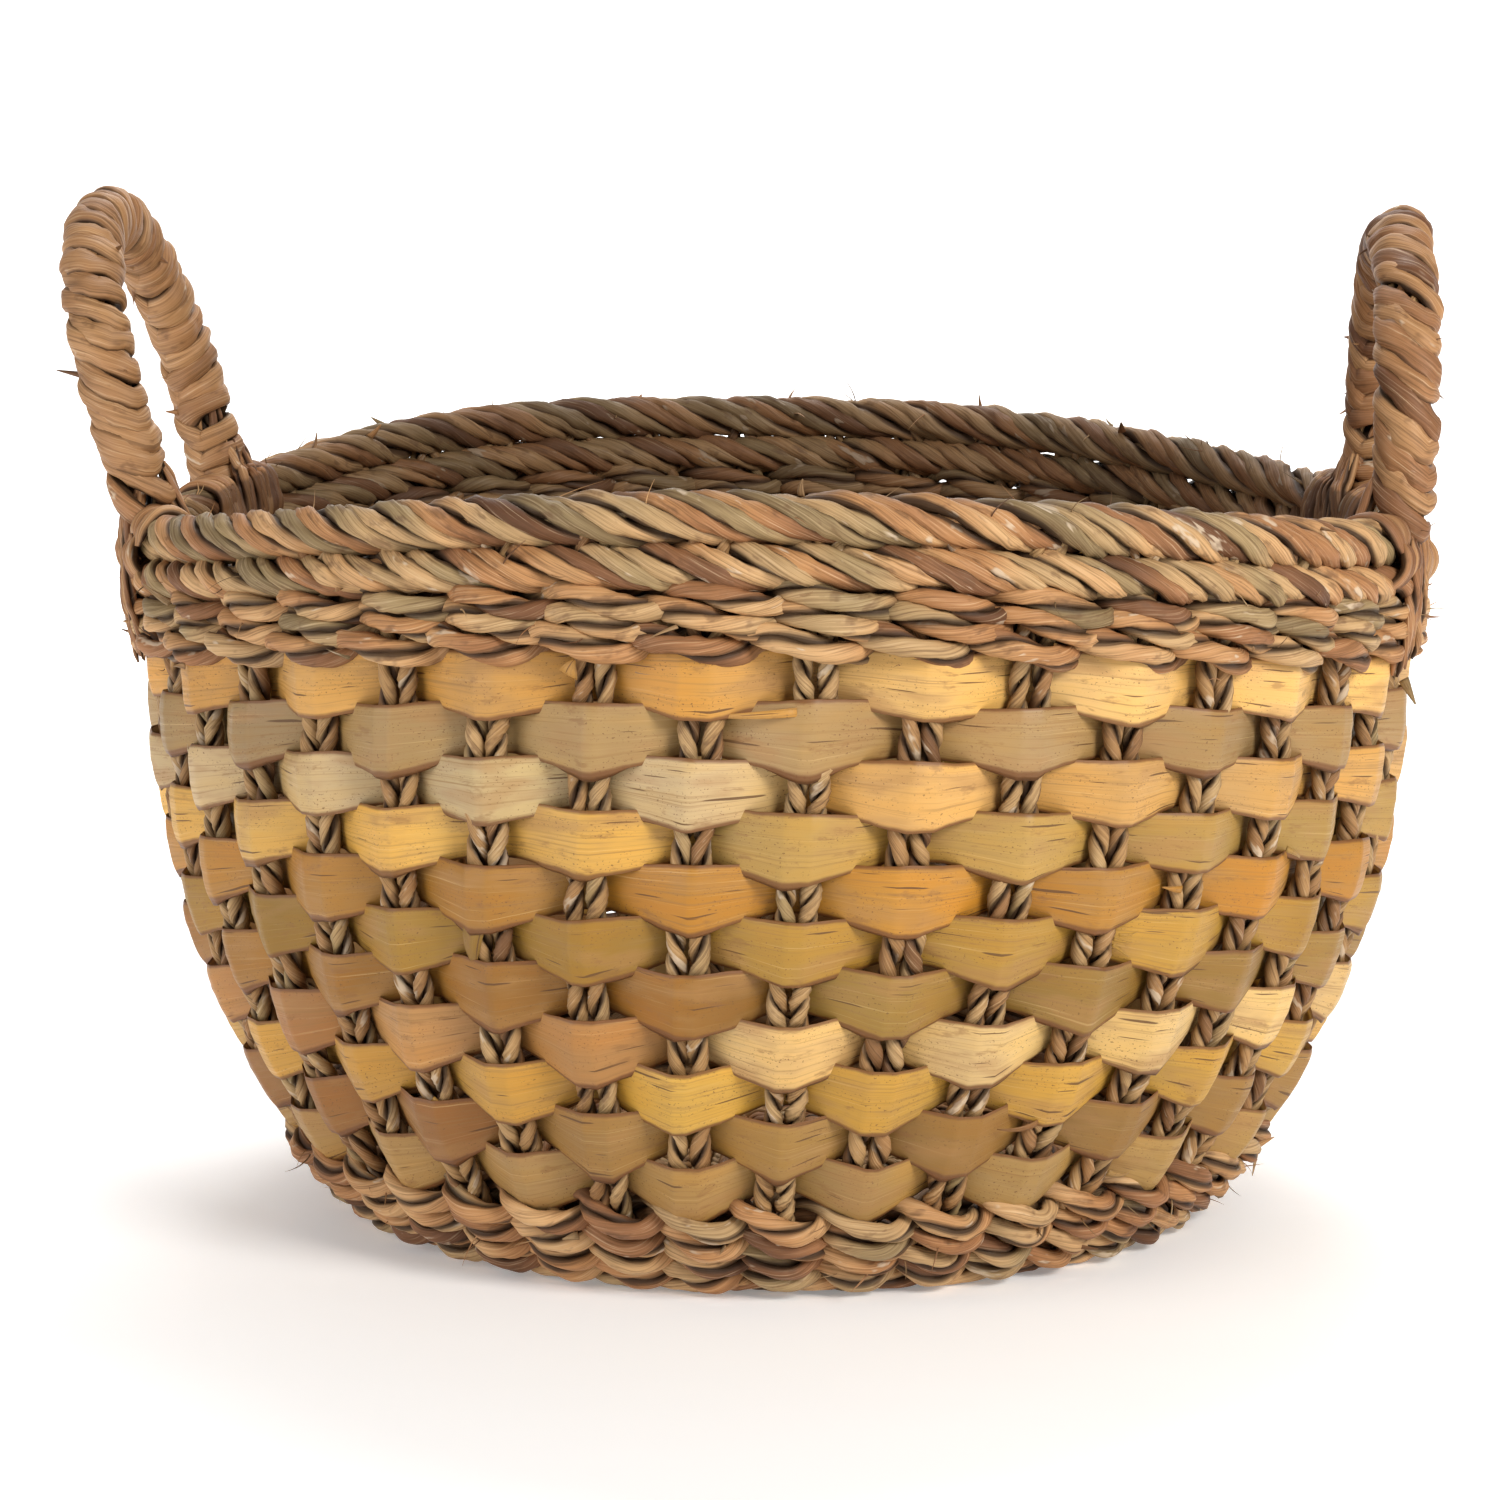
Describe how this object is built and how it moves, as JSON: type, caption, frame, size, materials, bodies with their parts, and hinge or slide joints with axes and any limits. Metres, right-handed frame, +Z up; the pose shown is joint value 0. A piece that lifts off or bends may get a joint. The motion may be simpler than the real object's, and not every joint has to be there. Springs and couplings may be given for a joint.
{
  "type": "woven wicker basket",
  "caption": "Round open storage basket of flat bark strips woven over cord stakes, with twined cord bands, a rope rim and two wrapped loop handles.",
  "frame": {"origin": "centre of the foot ring's flat resting face", "axes": "+Z up through the open mouth; -Y is the front; the two handles stand on +X and -X"},
  "size_m": [0.4184, 0.4012, 0.3131],
  "materials": {
    "bark_strip": "satin, dry folded bark",
    "seagrass_cord": "matt, twisted dry seagrass",
    "stake_cord": "matt, two-ply twisted cord",
    "handle_wrap": "satin, flat seagrass wrapping"
  },
  "bodies": {
    "root": {"strip_row_01": "bark_strip", "strip_row_02": "bark_strip", "strip_row_03": "bark_strip", "strip_row_04": "bark_strip", "strip_row_05": "bark_strip", "strip_row_06": "bark_strip", "strip_row_07": "bark_strip", "strip_row_08": "bark_strip", "strip_row_09": "bark_strip", "strip_row_10": "bark_strip", "strip_row_11": "bark_strip", "upper_twine_1": "seagrass_cord", "upper_twine_2": "seagrass_cord", "upper_twine_3": "seagrass_cord", "lower_twine_1": "seagrass_cord", "lower_twine_2": "seagrass_cord", "lower_twine_3": "seagrass_cord", "rim_wale": "seagrass_cord", "rim_border": "seagrass_cord", "foot_ring": "seagrass_cord", "stakes_01": "stake_cord", "stakes_02": "stake_cord", "stakes_03": "stake_cord", "stakes_04": "stake_cord", "stakes_05": "stake_cord", "stakes_06": "stake_cord", "stakes_07": "stake_cord", "stakes_08": "stake_cord", "stakes_09": "stake_cord", "stakes_10": "stake_cord", "base_cross_lower": "stake_cord", "base_cross_upper": "stake_cord", "base_spokes": "stake_cord", "base_twine_1": "seagrass_cord", "base_twine_2": "seagrass_cord", "base_twine_3": "seagrass_cord", "base_twine_4": "seagrass_cord", "base_twine_5": "seagrass_cord", "lashing_left_front": "handle_wrap", "lashing_left_back": "handle_wrap", "lashing_right_front": "handle_wrap", "lashing_right_back": "handle_wrap"},
    "handle_left": {"handle_left_core": "seagrass_cord", "handle_left_wrap": "handle_wrap"},
    "handle_right": {"handle_right_core": "seagrass_cord", "handle_right_wrap": "handle_wrap"}
  },
  "joints": [
    {"name": "handle_left_flex", "type": "hinge", "parent": "root", "child": "handle_left", "pos_m": [-0.1875, 0, 0.228], "axis": [0, -1, 0], "range_deg": [-18, 12], "stiffness_Nm_per_rad": 1.2},
    {"name": "handle_right_flex", "type": "hinge", "parent": "root", "child": "handle_right", "pos_m": [0.1875, 0, 0.228], "axis": [0, 1, 0], "range_deg": [-15, 18], "stiffness_Nm_per_rad": 1.2}
  ]
}
